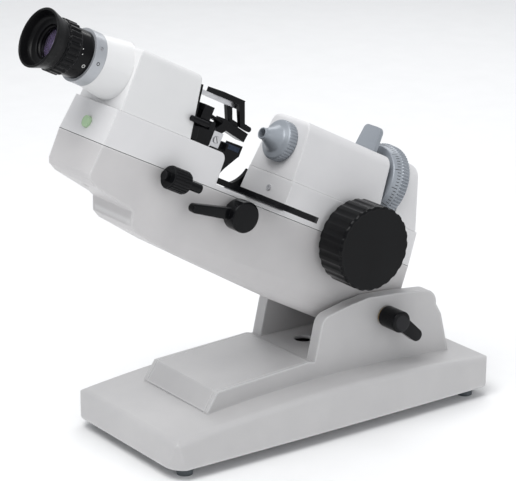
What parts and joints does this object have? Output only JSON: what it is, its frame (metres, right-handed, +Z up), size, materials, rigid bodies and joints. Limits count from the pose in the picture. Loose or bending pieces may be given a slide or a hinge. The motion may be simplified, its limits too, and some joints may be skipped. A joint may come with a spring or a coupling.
{
  "type": "lensmeter",
  "caption": "Manual lensmeter: optical body with eyepiece, lens holder, lens table, power wheel and axis ring, tilting between two cheeks on a flat footed base.",
  "frame": {"origin": "on the table plane under the rubber feet, under the middle of the instrument's overall length and width", "axes": "+X is the operator's right, +Y points from the operator to the rear along the base, +Z is up"},
  "size_m": [0.144, 0.355, 0.322],
  "materials": {
    "body_light": "satin",
    "body_lower": "satin",
    "cover_white": "satin",
    "steel": "satin",
    "brass": "satin",
    "rubber": "matte",
    "black_metal": "satin",
    "black_plastic": "satin",
    "black_gloss": "gloss",
    "grey_anodised": "satin",
    "glass": "polished",
    "coated_glass": "polished",
    "green_glass": "polished",
    "friction_lining": "matte",
    "circuit_board": "satin",
    "lamp_board": "satin",
    "felt": "matte",
    "green_button": "gloss"
  },
  "bodies": {
    "base": {"base_casting": "body_light", "cover_panel": "body_light", "bottom_plate": "steel", "plate_screws": "steel", "rubber_feet": "rubber", "foot_screws": "steel", "power_supply": "circuit_board", "power_inlet": "black_plastic", "tilt_shaft": "steel", "tilt_bushes": "brass", "friction_washers": "friction_lining", "shaft_nut": "steel"},
    "clamp": {"clamp_lever": "black_plastic"},
    "optical_body": {"lower_housing": "body_lower", "chassis": "body_light", "telescope_cover": "cover_white", "collimator_cover": "cover_white", "lamp_cover": "cover_white", "cover_fixings": "steel", "telescope_tube": "black_metal", "objective_lens": "glass", "reticle": "glass", "eyepiece_clamp": "steel", "eyepiece_barrel": "black_plastic", "field_lens": "glass", "rear_plate": "black_metal", "marker_block": "black_metal", "marker_bracket": "steel", "ink_pad_stand": "black_metal", "ink_pad": "felt", "nosepiece": "grey_anodised", "standard_lens": "glass", "power_bearings": "brass", "optical_rail": "steel", "bearing_tube": "steel", "condenser_lens": "glass", "lamp": "lamp_board", "power_switch": "black_plastic"},
    "eyepiece": {"dioptre_ring": "black_plastic", "eyecup": "rubber", "eye_lens": "coated_glass"},
    "lens_holder": {"holder_bar": "steel", "holder_fork": "black_plastic", "holder_link": "steel", "holder_knob": "black_plastic"},
    "marker_swing_arm": {"marker_arm": "black_plastic"},
    "marker_pen_gang": {"marker_pens": "black_gloss"},
    "spectacle_table": {"lens_table": "black_metal", "table_stem": "steel"},
    "table_drive": {"table_lever": "black_plastic", "table_pinion": "brass"},
    "power_drive": {"power_wheel": "black_plastic", "power_pinion": "brass"},
    "carriage": {"target_carriage": "steel"},
    "target": {"target_holder": "grey_anodised"},
    "cylinder_axis_ring": {"axis_ring": "grey_anodised", "axis_key_rods": "steel"},
    "filter_flip": {"filter_lever": "grey_anodised", "green_filter": "green_glass"},
    "switch_button": {"power_button": "green_button"}
  },
  "joints": [
    {"name": "body_tilt", "type": "hinge", "parent": "base", "child": "optical_body", "pos_m": [0, 0.09375, 0.0715], "axis": [-1, 0, 0], "range_deg": [-20, 62.9]},
    {"name": "clamp_turn", "type": "hinge", "parent": "base", "child": "clamp", "pos_m": [0, 0.09375, 0.0715], "axis": [1, 0, 0], "range_deg": [-25, 60]},
    {"name": "dioptre_turn", "type": "hinge", "parent": "optical_body", "child": "eyepiece", "pos_m": [0, -0.15121, 0.29526], "axis": [0, 0.8902, -0.4555], "range_deg": [-150, 150]},
    {"name": "holder_slide", "type": "slide", "parent": "optical_body", "child": "lens_holder", "axis": [0, 0.8902, -0.4555], "range_m": [0, 0.013]},
    {"name": "marker_swing", "type": "hinge", "parent": "optical_body", "child": "marker_swing_arm", "pos_m": [0, -0.03834, 0.2184], "axis": [1, 0, 0], "range_deg": [-3, 15]},
    {"name": "marker_push", "type": "slide", "parent": "marker_swing_arm", "child": "marker_pen_gang", "axis": [0, 0.8131, -0.5821], "range_m": [0, 0.014]},
    {"name": "table_lift", "type": "slide", "parent": "optical_body", "child": "spectacle_table", "axis": [0, 0.4555, 0.8902], "range_m": [0, 0.018]},
    {"name": "table_lever_turn", "type": "hinge", "parent": "optical_body", "child": "table_drive", "pos_m": [0, -0.03499, 0.17006], "axis": [1, 0, 0], "range_deg": [0, 105.3]},
    {"name": "power_turn", "type": "hinge", "parent": "optical_body", "child": "power_drive", "pos_m": [0, 0.06685, 0.13199], "axis": [1, 0, 0], "range_deg": [-133, 133]},
    {"name": "target_travel", "type": "slide", "parent": "optical_body", "child": "carriage", "axis": [0, 0.8902, -0.4555], "range_m": [-0.014, 0.014]},
    {"name": "target_turn", "type": "hinge", "parent": "carriage", "child": "target", "pos_m": [0, 0.06511, 0.18456], "axis": [0, 0.8902, -0.4555], "range_deg": [-180, 180]},
    {"name": "axis_turn", "type": "hinge", "parent": "optical_body", "child": "cylinder_axis_ring", "pos_m": [0, 0.11229, 0.16042], "axis": [0, 0.8902, -0.4555], "range_deg": [-180, 180]},
    {"name": "filter_turn", "type": "hinge", "parent": "optical_body", "child": "filter_flip", "pos_m": [-0.0156, 0.09896, 0.17937], "axis": [0, -0.8902, 0.4555], "range_deg": [0, 22]},
    {"name": "button_press", "type": "slide", "parent": "optical_body", "child": "switch_button", "axis": [0, 0.8902, -0.4555], "range_m": [0, 0.0015], "stiffness_N_per_m": 400}
  ],
  "couplings": [
    {"joint": "target_travel", "follows": "power_turn", "m_per_rad": -0.006},
    {"joint": "target_turn", "follows": "axis_turn", "ratio": 1},
    {"joint": "table_lever_turn", "follows": "table_lift", "rad_per_m": 102.04}
  ]
}
